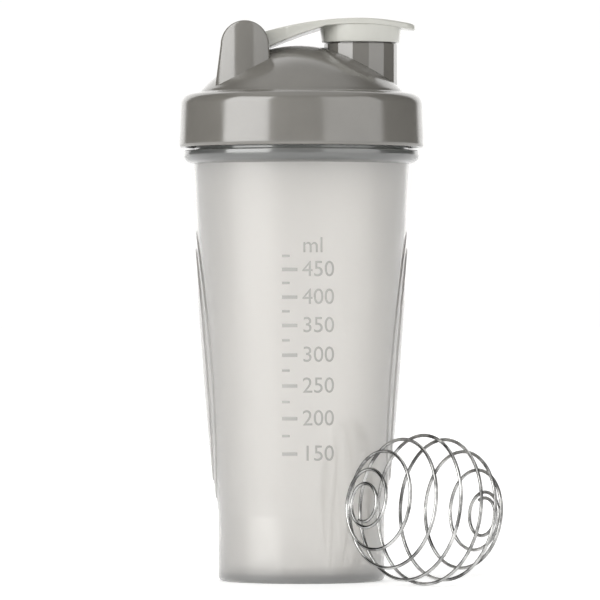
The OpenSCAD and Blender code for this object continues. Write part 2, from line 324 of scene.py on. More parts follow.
def moulded(name, colour, rough, grain=900.0, grain_depth=0.00002, variation=0.04,
            gloss_level=0.5):
    """Moulded plastic: faint mottling, a fine grain and slow gloss changes."""
    mat, tree, shader, coords = nodes_of(name)
    mottle = noise(tree, coords, 60, 4)
    tone = two_tone(tree, mottle, shaded(colour, 1 - variation), shaded(colour, 1 + variation))
    tree.links.new(tone, shader.inputs["Base Color"])
    gloss = noise(tree, coords, 35, 2, stretch=(1, 1, 3))
    tree.links.new(spread(tree, gloss, rough * 0.85, rough * 1.2), shader.inputs["Roughness"])
    bump(tree, shader, noise(tree, coords, grain, 2), 0.25, grain_depth)
    shader.inputs["IOR"].default_value = 1.58
    shader.inputs["Specular IOR Level"].default_value = gloss_level
    return mat, shader


WALL_TONES = (0.955, 0.94, 0.92), (0.985, 0.972, 0.952)
# The grey tone below is painted shade on the bead under the lid and on the thick floor; the fades give the
# heights where it comes in
PAINTED_SHADE_TONE, FLOOR_SHADE_SHARE = (0.355, 0.372, 0.368), 0.35
BEAD_SHADE_FADE, FLOOR_SHADE_FADE = (0.1640, 0.1655), (0.0022, 0.0040)  # heights in metres
WALL_ABSORBS, WALL_DENSITY = (0.61, 0.60, 0.57), 200.0


def frosted_plastic():
    """See-through plastic with a satin outside: light passes and scatters. The bead under the lid and the
    thick floor get painted shade, a greyer base colour.
    """
    mat, tree, shader, coords = nodes_of("frosted_plastic")
    cloud = noise(tree, coords, 22, 3, stretch=(1, 1, 0.4))
    tone = two_tone(tree, cloud, *WALL_TONES)
    # Painted shade: the base colour is greyer on the bead under the lid, where the lid's shaded inside shows
    # through, and on the thick floor
    height = tree.nodes.new("ShaderNodeSeparateXYZ")
    tree.links.new(coords, height.inputs[0])
    # The mask of the painted shade: bead band or floor band, whichever is stronger
    thick = tree.nodes.new("ShaderNodeMath")
    thick.operation = "MAXIMUM"
    tree.links.new(spread(tree, height.outputs["Z"], 0, 1, *BEAD_SHADE_FADE), thick.inputs[0])
    tree.links.new(spread(tree, height.outputs["Z"], FLOOR_SHADE_SHARE, 0, *FLOOR_SHADE_FADE), thick.inputs[1])
    mix = tree.nodes.new("ShaderNodeMix")
    mix.data_type = "RGBA"
    tree.links.new(thick.outputs[0], mix.inputs["Factor"])
    sockets = {(s.name, s.type): s for s in mix.inputs}
    tree.links.new(tone, sockets["A", "RGBA"])
    sockets["B", "RGBA"].default_value = (*PAINTED_SHADE_TONE, 1)
    tree.links.new(next(s for s in mix.outputs if s.type == "RGBA"), shader.inputs["Base Color"])
    satin = noise(tree, coords, 1400, 2)
    tree.links.new(spread(tree, satin, 0.38, 0.5), shader.inputs["Roughness"])
    bump(tree, shader, satin, 0.2, 0.00002)
    shader.inputs["IOR"].default_value = 1.46
    shader.inputs["Transmission Weight"].default_value = 0.84
    shader.inputs["Specular IOR Level"].default_value = 0.25
    shader.inputs["Coat Weight"].default_value = 0.95
    shader.inputs["Coat Roughness"].default_value = 0.12
    shader.inputs["Coat IOR"].default_value = 2.0
    absorb = tree.nodes.new("ShaderNodeVolumeAbsorption")
    absorb.inputs["Color"].default_value = (*WALL_ABSORBS, 1)
    absorb.inputs["Density"].default_value = WALL_DENSITY
    tree.links.new(absorb.outputs["Volume"], tree.nodes["Material Output"].inputs["Volume"])
    return mat


def drawn_steel(name, colour, rough, stretch, scale=500, dark=0.92, edge=1.0):
    """Bright drawn wire or rod with darker streaks: faint ones are drawing marks, deep ones are painted
    reflections. An edge below 1 reflects less at its sides.
    """
    mat, tree, shader, coords = nodes_of(name)
    streaks_and_reflections = noise(tree, coords, scale, 3, stretch=stretch)
    tone = two_tone(tree, streaks_and_reflections, shaded(colour, dark), colour)
    shader.inputs["Specular Tint"].default_value = (edge, edge, edge, 1)
    tree.links.new(tone, shader.inputs["Base Color"])
    tree.links.new(spread(tree, streaks_and_reflections, rough * 0.8, rough * 1.4), shader.inputs["Roughness"])
    bump(tree, shader, streaks_and_reflections, 0.15, 0.00001)
    shader.inputs["Metallic"].default_value = 1.0
    return mat


LID_COLOUR = (0.168, 0.161, 0.146)
CAP_COLOUR = (0.56, 0.56, 0.515)

frosted = frosted_plastic()
lid_plastic, _ = moulded("lid_plastic", LID_COLOUR, 0.15, gloss_level=1.0)
cap_plastic, _ = moulded("cap_plastic", CAP_COLOUR, 0.2, gloss_level=0.9)
silicone, silicone_shader = moulded("silicone", (0.74, 0.74, 0.72), 0.55, grain=500,
                                    grain_depth=0.00004)
silicone_shader.inputs["Subsurface Weight"].default_value = 0.3
silicone_shader.inputs["Subsurface Radius"].default_value = (0.002, 0.002, 0.002)
ink, _ = moulded("scale_ink", (0.40, 0.395, 0.38), 0.5, grain=1600, grain_depth=0.00001,
                 variation=0.05)
# The wire's deep dark streaks are painted reflections, standing in for a busy surrounding; the pin's faint
# streaks are drawing marks
wire_steel = drawn_steel("wire_steel", (0.72, 0.72, 0.71), 0.05, (1, 1, 1), scale=110, dark=0.2,
                         edge=0.1)
pin_steel = drawn_steel("pin_steel", (0.62, 0.62, 0.61), 0.2, (1, 0.1, 1))


# ---------------------------------------------------------------- bottle

def belly(d, n):
    """The belly's curve from the foot's wall to the upper wall, moved outwards by d."""
    low, high = Vector((FOOT_R + d, FOOT_H)), Vector((BELLY_R + d, BELLY_Z))
    across = Vector((high.y - low.y, low.x - high.x)).normalized()
    return bezier(tuple(low), tuple((low + high) / 2 + 2 * BELLY_BULGE * across), tuple(high), n)


def line(p, q, n):
    """n points from p towards q, without q."""
    return [tuple(a + (b - a) * i / n for a, b in zip(p, q)) for i in range(n)]


def grip_height(y, z):
    """How far the two steps of a grip panel stand proud at a point of the wall."""
    step_w, step_start = 0.7, 0.1
    total = 0.0
    for half_w, half_h in (GRIP_OUTER, GRIP_INNER):
        v, w = y / half_w, (z - GRIP_Z) / half_h
        e = math.hypot(v, w)
        if e < 1e-6:
            total += GRIP_STEP
            continue
        slope = math.hypot(v / half_w, w / half_h) / e
        total += GRIP_STEP * smoothstep((1 - e) / slope / step_w + step_start)
    return total


def tooth_share(angle, z, z0, turns, root_half, tip_half):
    """0 between the teeth of a thread, 1 on their crests."""
    best = 0.0
    steps, fade = 48, 4
    for start in range(THREAD_STARTS):
        u = (angle / TAU - start / THREAD_STARTS) % 1.0
        if u > turns:
            continue
        off = abs(z - z0 - THREAD_LEAD * u)
        flank = min(1.0, max(0.0, (root_half - off) / (root_half - tip_half)))
        ends = min(1.0, (u * steps + 0.3) / fade, ((turns - u) * steps + 0.3) / fade)
        best = max(best, flank * ends)
    return best


def uneven_angles():
    """Angles round the bottle, closer together over the two grip panels."""
    half, fine, coarse = 27, 90, 72
    out = []
    for centre in (0.0, 180.0):
        out += [centre - half + 0.6 * i for i in range(fine)]
        out += [centre + half + (180 - 2 * half) * i / coarse for i in range(coarse)]
    return [math.radians(a) for a in out]


def bottle():
    foot = [(0, 0), (10, 0), (GROOVE_IN, 0), (GROOVE_IN + GROOVE_DEPTH, GROOVE_DEPTH)]
    foot += [(GROOVE_OUT - GROOVE_DEPTH, GROOVE_DEPTH), (GROOVE_OUT, 0)]
    outer = foot + arc(FOOT_R - FOOT_CORNER, FOOT_CORNER, FOOT_CORNER, -90, 0, 8)
    outer += line((FOOT_R, 3.5), (FOOT_R, FOOT_H), 14) + belly(0, 122)
    outer += line((BELLY_R, BELLY_Z), (SHOULDER_R, SHOULDER_Z), 24)[1:]
    outer += bezier((SHOULDER_R, SHOULDER_Z), (BEAD_R + 0.5, SHOULDER_Z + 1), (BEAD_R, BEAD_TOP - 1), 12)
    outer += arc(BEAD_R - 0.6, BEAD_TOP - 0.6, 0.6, 0, 90, 4)
    outer += [(NECK_R + 0.4, BEAD_TOP)] + line((NECK_R, BEAD_TOP + 0.3), (NECK_R, RIM_Z - 0.6), 44)
    outer += arc(NECK_R - 0.6, RIM_Z - 0.6, 0.6, 0, 90, 4)
    inner = arc(NECK_BORE_R + 0.4, RIM_Z - 0.4, 0.4, 90, 180, 3)
    inner += line((NECK_BORE_R, RIM_Z - 2), (NECK_BORE_R, SHOULDER_Z - 3), 6)
    inner += line((NECK_BORE_R, SHOULDER_Z - 3), (BELLY_R - WALL, BELLY_Z), 8)
    inner += list(reversed(belly(-WALL, 20)))
    inner += line((FOOT_R - WALL, FOOT_H), (FOOT_R - WALL, FLOOR_T + 4), 6)[1:]
    inner += arc(FOOT_R - WALL - INNER_CORNER, FLOOR_T + INNER_CORNER, INNER_CORNER, 0, -90, 8)
    inner += [(12, FLOOR_T), (0, FLOOR_T)]
    profile = outer + inner
    outside = len(outer)
    verts, faces = [], []
    angles = uneven_angles()
    k = len(profile)
    for a in angles:
        for j, (r, z) in enumerate(profile):
            if j < outside and abs(z - GRIP_Z) < GRIP_OUTER[1] + 1:
                r += grip_height(r * math.sin(a), z)
            elif j < outside and BEAD_TOP < z < RIM_Z - 0.5:
                share = tooth_share(a, z, NECK_TOOTH_Z, NECK_TOOTH_TURNS, TOOTH_ROOT_W / 2,
                                    TOOTH_TIP_W / 2)
                r += (NECK_CREST_R - NECK_R) * share
            verts.append((r * math.cos(a), r * math.sin(a), z))
    for s in range(len(angles)):
        t = (s + 1) % len(angles)
        for j in range(k - 1):
            faces.append((s * k + j, t * k + j, t * k + j + 1, s * k + j + 1))
    piece("bottle_shell", (verts, faces), "bottle", ["bottle_body"], frosted, 50)


bottle()


# ---------------------------------------------------------------- lid

def on_sphere(x, y, r=ROOT_R):
    """Height of a sphere about the dome's centre, above the point (x, y)."""
    return DOME_Z + math.sqrt(r * r - x * x - y * y)


def lid_shell():
    crease = math.degrees(math.acos(CREASE_R / DOME_R))
    inner = math.degrees(math.acos(PLUG_IN_R / INNER_DOME_R))
    round_x, round_z = SKIRT_TOP_R - SHOULDER_ROUND, LID_SHOULDER_Z - SHOULDER_ROUND
    crease_z = DOME_Z + math.sqrt(DOME_R ** 2 - CREASE_R ** 2)
    outline = [(LID_BORE_R + 0.3, SKIRT_Z), (SKIRT_R - 0.75, SKIRT_Z)]
    outline += bezier((SKIRT_R - 0.75, SKIRT_Z), (SKIRT_R, SKIRT_Z + 0.1), (SKIRT_R, SKIRT_Z + 1.2), 5)[1:]
    outline += line((SKIRT_R, SKIRT_Z + 1.7), (SKIRT_TOP_R, round_z), 14)
    outline += arc(round_x, round_z, SHOULDER_ROUND, 0, 90, 16)
    outline += bezier((CREASE_R + 0.8, LID_SHOULDER_Z + 0.06), (CREASE_R, crease_z - 0.1),
                      (CREASE_R - 0.6, crease_z + 0.55), 5)
    outline += arc(0, DOME_Z, DOME_R, crease + 1.3, 90, 52)
    outline += arc(0, DOME_Z, INNER_DOME_R, 90, inner, 40)
    outline += [(PLUG_IN_R, PLUG_Z + 4), (PLUG_IN_R, PLUG_Z + 0.3), (PLUG_IN_R + 0.3, PLUG_Z)]
    outline += [(PLUG_OUT_R - 0.5, PLUG_Z), (PLUG_OUT_R, PLUG_Z + 1), (PLUG_OUT_R, ROOF_Z - 3)]
    outline += [(PLUG_OUT_R, ROOF_Z)]
    outline += [(PLUG_OUT_R + 3, ROOF_Z), (LID_BORE_R - 0.5, ROOF_Z), (LID_BORE_R, ROOF_Z - 0.5)]
    bore_from = len(outline)
    outline += line((LID_BORE_R, ROOF_Z - 1), (LID_BORE_R, SKIRT_Z + 0.6), 48) + [(LID_BORE_R, SKIRT_Z + 0.3)]

    def threaded(a, j, r, z):
        if j >= bore_from:
            r -= (LID_BORE_R - LID_CREST_R) * tooth_share(a, z, LID_TOOTH_Z, LID_TOOTH_TURNS,
                                                          LID_TOOTH_ROOT_HALF, TOOTH_TIP_W / 2)
        return r, z

    return revolve(outline, 288, radius=threaded)


def side_x(z, right):
    """The ears' side outline below the hinge: x of its right or left edge at height z."""
    drop = (HINGE_Z - z) / EAR_DROP
    return HINGE_X + EAR_R + EAR_SPREAD * drop if right else HINGE_X - EAR_R - EAR_LEAN * drop


def ear(side):
    """One ear as (verts, faces); side is -1 for the front one."""
    edge_round, slot_round = 0.75, 0.3
    outline = [("side", True, i / 14) for i in range(14, 0, -1)]
    outline += [("top", math.pi * i / 40) for i in range(41)]
    outline += [("side", False, i / 14) for i in range(1, 15)]
    rings = []
    # (inset from the edge, depth rule): the slot's face, the side wall, the rounded edge, the front
    for inset in (EAR_R, 6.0, 3.0, 1.0, slot_round):
        rings.append((inset, lambda out: SLOT_HALF_W))
    rings.append((0.09, lambda out: SLOT_HALF_W + 0.09))
    rings.append((0.0, lambda out: SLOT_HALF_W + slot_round))
    rings.append((0.0, lambda out: (SLOT_HALF_W + out) / 2))
    for i in range(7):
        a = math.pi / 2 * i / 6
        rings.append((edge_round * (1 - math.cos(a)),
                      lambda out, s=math.sin(a): out - edge_round * (1 - s)))
    for inset in (1.4, 2.4, 3.6, 5.0, 6.5, 8.0, EAR_R):
        rings.append((inset, lambda out: out))

    def front(x):
        return EAR_PLAN_Y + math.sqrt(EAR_PLAN_R ** 2 - (x - EAR_PLAN_X) ** 2)

    loops = []
    for inset, depth in rings:
        share = 1 - inset / EAR_R
        loop = []
        for point in outline:
            if point[0] == "top":
                x = HINGE_X + EAR_R * share * math.cos(point[1])
                z = HINGE_Z + EAR_R * share * math.sin(point[1])
                y = depth(front(x))
            else:
                # The foot follows the dome, whose height depends on x and y: a few rounds settle it
                z = 200.0
                for _ in range(4):
                    mid = (side_x(z, True) + side_x(z, False)) / 2
                    x = mid + (side_x(z, point[1]) - mid) * share
                    y = depth(front(x))
                    z = HINGE_Z + (on_sphere(x, y) - HINGE_Z) * point[2]
            loop.append((x, side * y, z))
        loops.append(loop)
    k = len(outline)
    verts = [p for loop in loops for p in loop]
    faces = []
    for i in range(len(loops) - 1):
        for j in range(k - 1):
            faces.append((i * k + j, (i + 1) * k + j, (i + 1) * k + j + 1, i * k + j + 1))
        faces.append((i * k, (i + 1) * k, (i + 1) * k + k - 1, i * k + k - 1))
    return verts, faces


def web():
    """The wall behind the arm, between the two ears."""
    rings = []
    for i in range(13):
        y = -12.8 + 25.6 * i / 12
        foot_out = on_sphere(side_x(199, False), y)
        foot_in = on_sphere(WEB_INNER_X, y)
        ring = [(side_x(z, False), y, z) for z in (foot_out, 203, WEB_TOP_Z - 1)]
        top_x = side_x(WEB_TOP_Z, False)
        ring += [(top_x + 0.25, y, WEB_TOP_Z - 0.25), (top_x + 0.8, y, WEB_TOP_Z)]
        ring += [(WEB_INNER_X - 0.5, y, WEB_TOP_Z), (WEB_INNER_X, y, WEB_TOP_Z - 0.5)]
        ring += [(WEB_INNER_X, y, foot_in)]
        rings.append(ring)
    return swept(rings)


def at_height(plan, z):
    """Plan points about the spout's axis as 3-D ones; z is a height or a function of (x, y)."""
    return [(SPOUT_X + x, y, z(SPOUT_X + x, y) if callable(z) else z) for x, y in plan]


def facet_ring(edge_r, z):
    """A ring of the spout's faceted outside, with softened edges."""
    corners = [(edge_r * math.cos(TAU * i / SPOUT_FACETS), edge_r * math.sin(TAU * i / SPOUT_FACETS))
               for i in range(SPOUT_FACETS)]
    return at_height(rounded(corners, FACET_ROUND), z)


def spout():
    """Faceted below, round under the cap, with its bore."""
    facets = [facet_ring(SPOUT_R, on_sphere), facet_ring(SPOUT_R, SPOUT_SHOULDER_Z - 0.5)]
    facets += [facet_ring(SPOUT_R - 0.1, SPOUT_SHOULDER_Z - 0.15)]
    facets += [facet_ring(SPOUT_R - 0.4, SPOUT_SHOULDER_Z)]
    turns = [math.atan2(y, x - SPOUT_X) for x, y, _ in facets[0]]

    def circle(r, z):
        return at_height([(r * math.cos(a), r * math.sin(a)) for a in turns], z)

    def inner_dome(x, y):
        return on_sphere(x, y, INNER_DOME_R)

    rings = facets + [circle(SPOUT_TOP_R, SPOUT_SHOULDER_Z), circle(SPOUT_TOP_R, SPOUT_TOP - 0.5)]
    rings += [circle(SPOUT_TOP_R - 0.15, SPOUT_TOP - 0.15), circle(SPOUT_TOP_R - 0.5, SPOUT_TOP)]
    rings += [circle(SPOUT_BORE_R + 0.3, SPOUT_TOP), circle(SPOUT_BORE_R, SPOUT_TOP - 0.3)]
    rings += [circle(SPOUT_BORE_R, 206), circle(SPOUT_BORE_R, inner_dome)]
    rings += [circle(SPOUT_HOLE_R, inner_dome), circle(SPOUT_HOLE_R, on_sphere)]
    k = len(turns)
    verts = [p for ring in rings for p in ring]
    faces = []
    for i in range(len(rings)):
        n = (i + 1) % len(rings)
        for j in range(k):
            m = (j + 1) % k
            faces.append((i * k + j, i * k + m, n * k + m, n * k + j))
    return verts, faces


def cylinder(p, q, r, n=64):
    """A plain rod from p to q, to cut with."""
    p, q = Vector(p), Vector(q)
    turn = (q - p).to_track_quat("Z", "Y")
    rings = []
    for end in (p, q):
        rings.append([tuple(end + turn @ Vector((r * math.cos(TAU * i / n), r * math.sin(TAU * i / n), 0)))
                      for i in range(n)])
    return swept(rings)


def lid():
    shell = scratch("lid_shell", lid_shell())
    hole = cylinder((SPOUT_X, 0, 185), (SPOUT_X, 0, 230), SPOUT_HOLE_R, 140)
    boolean(shell, [scratch("hole", hole)], "DIFFERENCE")
    parts = [scratch("spout", spout()), scratch("web", web()), scratch("ear_front", ear(-1)),
             scratch("ear_back", ear(1))]
    boolean(shell, parts, "UNION")
    pin = cylinder((HINGE_X, PIN_FRONT_Y, HINGE_Z), (HINGE_X, 30, HINGE_Z), PIN_R)
    boolean(shell, [scratch("pin_hole", pin)], "DIFFERENCE")
    piece("lid_shell", taken(shell), "lid", ["lid"], lid_plastic, 35)


lid()


def hinge_pin():
    """The pin, with rounded ends."""
    stations = [(PIN_FRONT_Y, 1.1), (PIN_FRONT_Y + 0.1, 1.35), (PIN_FRONT_Y + 0.4, PIN_R), (0, PIN_R)]
    stations += [(PIN_BACK_Y - 0.5, PIN_R), (PIN_BACK_Y - 0.2, 1.38), (PIN_BACK_Y - 0.06, 1.1)]
    stations += [(PIN_BACK_Y, 0.6)]
    sides = 40
    turns = [TAU * i / sides for i in range(sides)]
    rings = [[(HINGE_X + r * math.cos(a), y, HINGE_Z + r * math.sin(a)) for a in turns]
             for y, r in stations]
    piece("pin_rod", swept(rings), "lid", ["hinge_pin"], pin_steel, 50)


hinge_pin()


def ring_seal(name, centre_x, inner_r, outer_r, low, high, body, node):
    """A flat ring with rounded edges."""
    section = [(inner_r, low), (outer_r, low), (outer_r, high), (inner_r, high)]
    solid = revolve(rounded(section, 0.4, 5), 160, (centre_x, 0.0))
    piece(name, solid, body, [node], silicone, 60)


ring_seal("seal_ring_band", 0.0, 40.2, 43.4, 188.12, 189.62, "seal_ring", "lid_seal")
ring_seal("spout_washer", SPOUT_X, 11.4, 13.6, 217.0, 218.2, "flip_cap", "spout_seal")


# ---------------------------------------------------------------- flip cap

def tangent(x1, r1, x2, r2):
    """Where the common upper tangent touches two circles on the X axis."""
    tilt = math.asin((r1 - r2) / (x2 - x1))
    return ((x1 + r1 * math.sin(tilt), r1 * math.cos(tilt)), (x2 + r2 * math.sin(tilt), r2 * math.cos(tilt)))


def cap_outline():
    """Upper half of the cap's plan, from the knuckle's end to the tab's end."""
    tab_x = TAB_END_X - TAB_R
    arm_in, plate_in = tangent(ARM_FLARE_X, ARM_HALF_W, SPOUT_X, PLATE_R)
    plate_out, tab_out = tangent(SPOUT_X, PLATE_R, tab_x, TAB_R)
    start = math.degrees(math.atan2(plate_in[1], plate_in[0] - SPOUT_X))
    stop = math.degrees(math.atan2(plate_out[1], plate_out[0] - SPOUT_X))
    tab = math.degrees(math.atan2(tab_out[1], tab_out[0] - tab_x))
    points = [(HINGE_X - KNUCKLE_R, ARM_HALF_W), (ARM_FLARE_X, ARM_HALF_W), arm_in]
    points += arc(SPOUT_X, 0, PLATE_R, start, stop, 40)
    points += arc(tab_x, 0, TAB_R, tab, 0, 40)
    return points


def interpolate(points, x):
    """y at x on a run of straight lines through points."""
    for (x0, y0), (x1, y1) in zip(points, points[1:]):
        if x0 <= x <= x1:
            return y0 + (y1 - y0) * (x - x0) / max(x1 - x0, 1e-9)
    return points[-1][1] if x > points[-1][0] else points[0][1]


def edge_distance(x, y, outline):
    """Distance from a point of the plan to its outline, which is mirrored about the X axis."""
    best = 1e9
    y = abs(y)
    for (x0, y0), (x1, y1) in zip(outline, outline[1:]):
        dx, dy = x1 - x0, y1 - y0
        t = min(1.0, max(0.0, ((x - x0) * dx + (y - y0) * dy) / max(dx * dx + dy * dy, 1e-12)))
        best = min(best, math.hypot(x - x0 - t * dx, y - y0 - t * dy))
    return best


def edge_drop(distance, radius):
    """How far a rounded edge lies below the flat at a distance from it."""
    if distance >= radius:
        return 0.0
    return radius - math.sqrt(max(0.0, radius ** 2 - (radius - distance) ** 2))


def knuckle(x):
    """Half the knuckle's height at x."""
    return math.sqrt(max(0.0, KNUCKLE_R ** 2 - (x - HINGE_X) ** 2))


def cap_top(x):
    """Height of the cap's top at x: the knuckle, then the arch."""
    arch = ARCH_Z + math.sqrt(ARCH_R ** 2 - (x - ARCH_X) ** 2)
    if x < HINGE_X:
        return HINGE_Z + knuckle(x) * min(1, (arch - HINGE_Z) / KNUCKLE_R)
    return arch


def cap_bottom(x):
    """Height of the cap's underside at x: the knuckle, then the arm, then the plate."""
    if x < ARM_UNDER[0][0]:
        return HINGE_Z - knuckle(x)
    under = ARCH_Z + math.sqrt((ARCH_R - PLATE_T) ** 2 - (x - ARCH_X) ** 2)
    arm = interpolate(ARM_UNDER, x)
    return arm if x < ARM_UNDER[-1][0] and arm < under else under


def cap_plate():
    """Plate, thumb tab, arm and knuckle in one shell, from stations along X."""
    outline = cap_outline()
    start, end = HINGE_X - KNUCKLE_R, TAB_END_X
    tab_from = 36.0
    xs = [start + KNUCKLE_R * (1 - math.cos(math.pi / 2 * i / 8)) for i in range(8)]
    xs += [HINGE_X + (tab_from - HINGE_X) * i / 90 for i in range(90)]
    xs += [tab_from + (end - tab_from) * math.sin(math.pi / 2 * i / 30) for i in range(31)]
    across = [math.sin(math.pi / 2 * i / 22) for i in range(-22, 23)]
    top_round, low_round = 0.8, 0.5
    rings = []
    for x in xs:
        half = max(0.02, interpolate(outline, x))
        top, low = [], []
        for share in across:
            y = half * share
            d = edge_distance(x, y, outline)
            thick = max(0.0, cap_top(x) - cap_bottom(x))
            r_top, r_low = min(top_round, thick * 0.6), min(low_round, thick * 0.3)
            top.append((x, y, cap_top(x) - edge_drop(d, r_top)))
            low.append((x, y, cap_bottom(x) + edge_drop(d, r_low)))
        rings.append(top + list(reversed(low)))
    return swept(rings)


def cap_cup():
    """The cap's skirt outside the spout and its hollow plug inside it."""
    plug_in, plug_out, plug_z = CAP_PLUG_IN_R, CAP_PLUG_OUT_R, CAP_PLUG_Z
    outline = [(0, CEILING_Z + 1), (0, CEILING_Z), (plug_in - 0.4, CEILING_Z), (plug_in, CEILING_Z - 0.4)]
    outline += [(plug_in, plug_z + 0.3), (plug_in + 0.3, plug_z), (plug_out - 0.8, plug_z)]
    outline += [(plug_out - 0.5, plug_z + 0.3), (plug_out, SPOUT_TOP), (plug_out, CEILING_Z)]
    outline += [(CAP_BORE_R, CEILING_Z), (CAP_BORE_R, CAP_SKIRT_Z + 0.3), (CAP_BORE_R + 0.3, CAP_SKIRT_Z)]
    outline += bezier((14.9, CAP_SKIRT_Z), (15.3, CAP_SKIRT_Z), (15.35, CAP_SKIRT_Z + 0.5), 4)
    outline += [(15.6, 214.5), (15.8, 216.4), (16, CEILING_Z), (16, CEILING_Z + 0.9)]
    return revolve(outline, 160, (SPOUT_X, 0.0))


def flip_cap():
    shell = scratch("cap_plate", cap_plate())
    boolean(shell, [scratch("cap_cup", cap_cup())], "UNION")
    bore = cylinder((HINGE_X, -30, HINGE_Z), (HINGE_X, 30, HINGE_Z), PIN_R + PIN_CLEARANCE)
    boolean(shell, [scratch("bore", bore)], "DIFFERENCE")
    piece("flip_cap_shell", taken(shell), "flip_cap", ["flip_cap"], cap_plastic, 35)


flip_cap()


# ---------------------------------------------------------------- whisk ball

def ramp(x):
    """0 below 0, x above it, with the bend between them rounded."""
    if x <= -RAMP_HALF:
        return 0.0
    return x if x >= RAMP_HALF else (x + RAMP_HALF) ** 2 / (4 * RAMP_HALF)


def wire_point(u):
    """Centre of the wire after u turns, about the ball's own centre and axis."""
    turn_rate = (180 - 2 * END_POLAR - CLOSE_RATE * WIRE_TURNS) / (WIRE_TURNS - 2)
    polar = math.radians(END_POLAR + CLOSE_RATE * u + turn_rate * (ramp(u - 1) - ramp(u - WIRE_TURNS + 1)))
    a = math.radians(360 * u + WIRE_PHASE)
    r = BALL_R - WIRE_R
    return Vector((r * math.sin(polar) * math.cos(a), r * math.sin(polar) * math.sin(a),
                   r * BALL_STRETCH * math.cos(polar)))


def whisk():
    """One round wire wound as a spherical spiral."""
    sides, steps, end_steps, end_length = 14, 68, 5, 0.3
    count = round(steps * WIRE_TURNS)
    turned = Matrix.Rotation(math.radians(BALL_YAW), 3, "Z")
    place = turned @ Matrix.Rotation(math.radians(90 + BALL_DIP), 3, "Y")

    def ring(u, radius, shift=0.0):
        p = wire_point(u)
        out = p.normalized()
        along = (wire_point(u + 0.01) - wire_point(u - 0.01)).normalized()
        side = along.cross(out)
        points = []
        for k in range(sides):
            a = TAU * k / sides
            q = p + along * shift + (out * math.cos(a) + side * math.sin(a)) * radius
            points.append(tuple(place @ q + Vector(BALL_AT)))
        return points

    def end(u, way):
        """Rings that round off an end of the wire: way is 1 at its start and -1 at its finish."""
        made = []
        for i in range(end_steps):
            a = math.pi / 2 * i / end_steps
            made.append(ring(u, max(0.03, WIRE_R * math.sin(a)), way * end_length * (1 - math.cos(a))))
        return made

    rings = end(0, 1)
    skip = end_length / (TAU * BALL_R * math.sin(math.radians(END_POLAR)))
    rings += [ring(u, WIRE_R) for u in (WIRE_TURNS * i / count for i in range(count + 1))
              if skip < u < WIRE_TURNS - skip]
    rings += reversed(end(WIRE_TURNS, -1))
    piece("whisk_wire", swept(rings), "whisk", ["whisk_ball"], wire_steel, 60)


whisk()


# ---------------------------------------------------------------- printed measuring scale

def wall_radius(z):
    """Outer radius of the bottle's wall at height z."""
    if z <= FOOT_H:
        return FOOT_R
    if z >= BELLY_Z:
        return BELLY_R + (SHOULDER_R - BELLY_R) * (z - BELLY_Z) / (SHOULDER_Z - BELLY_Z)
    points = belly(0, 60)
    return interpolate([(h, r) for r, h in points], z)


def height_of(volume_ml):
    """Height of the liquid's surface for a volume, from the inside of the wall."""
    total, z, step = 0.0, FLOOR_T, 0.25
    while total < volume_ml * 1000:
        total += math.pi * (wall_radius(z) - WALL) ** 2 * step
        z += step
    return z


def wrapped(across, z, lift):
    """A point of the print, laid on the wall's front: across runs to the right along the surface."""
    r = wall_radius(z)
    a = -math.pi / 2 + across / r
    return ((r + lift) * math.cos(a), (r + lift) * math.sin(a), z)


def tick(left, right, z, thick):
    """One line of the scale, as a thin closed solid on the wall."""
    n = max(2, round((right - left) / 1.2))
    rings = []
    for i in range(n + 1):
        u = left + (right - left) * i / n
        rings.append([wrapped(u, z - thick / 2, -INK_IN), wrapped(u, z - thick / 2, INK_OUT),
                      wrapped(u, z + thick / 2, INK_OUT), wrapped(u, z + thick / 2, -INK_IN)])
    return swept(rings)


def letters(text, left, z, size):
    """Generic figures as a thin closed solid on the wall, from Blender's built-in font."""
    curve = bpy.data.curves.new("figures", "FONT")
    curve.body = text
    curve.size = size
    curve.align_x = "LEFT"
    curve.align_y = "CENTER"
    curve.resolution_u = 5
    curve.extrude = 0.5
    obj = linked("figures", curve)
    dg = bpy.context.evaluated_depsgraph_get()
    mesh = bpy.data.meshes.new_from_object(obj.evaluated_get(dg))
    bpy.data.objects.remove(obj, do_unlink=True)
    bm = bmesh.new()
    bm.from_mesh(mesh)
    close, strip = 1e-5, 0.8
    bmesh.ops.remove_doubles(bm, verts=bm.verts, dist=close)
    # Cut into narrow strips, so that the flat figures can bend round the wall
    high = max(v.co.x for v in bm.verts)
    for i in range(1, int(high / strip) + 1):
        geom = bm.verts[:] + bm.edges[:] + bm.faces[:]
        bmesh.ops.bisect_plane(bm, geom=geom, plane_co=(strip * i, 0, 0), plane_no=(1, 0, 0),
                               dist=close)
    verts = [wrapped(left + v.co.x, z + v.co.y, INK_OUT if v.co.z > 0 else -INK_IN) for v in bm.verts]
    faces = [tuple(v.index for v in f.verts) for f in bm.faces]
    bm.free()
    bpy.data.meshes.remove(mesh)
    return verts, faces


def measuring_scale():
    """A generic scale in millilitres. It is ink with a material of its own, so it has no record slot."""
    solids = []
    for volume in range(SCALE_FROM, SCALE_TO + 1, SCALE_STEP):
        z = height_of(volume)
        major = volume % (2 * SCALE_STEP) == 0
        solids.append(tick(TICK_LEFT, TICK_RIGHT if major else SHORT_TICK_RIGHT, z, 1.3 if major else 0.9))
        if major:
            solids.append(letters(str(volume), FIGURE_LEFT, z, FIGURE_SIZE))
    solids.append(letters("ml", FIGURE_LEFT, height_of(SCALE_TO) + UNIT_RISE, FIGURE_SIZE))
    piece("measuring_scale", joined(*solids), "bottle", [], ink)


measuring_scale()


# ---------------------------------------------------------------- camera, light and floor

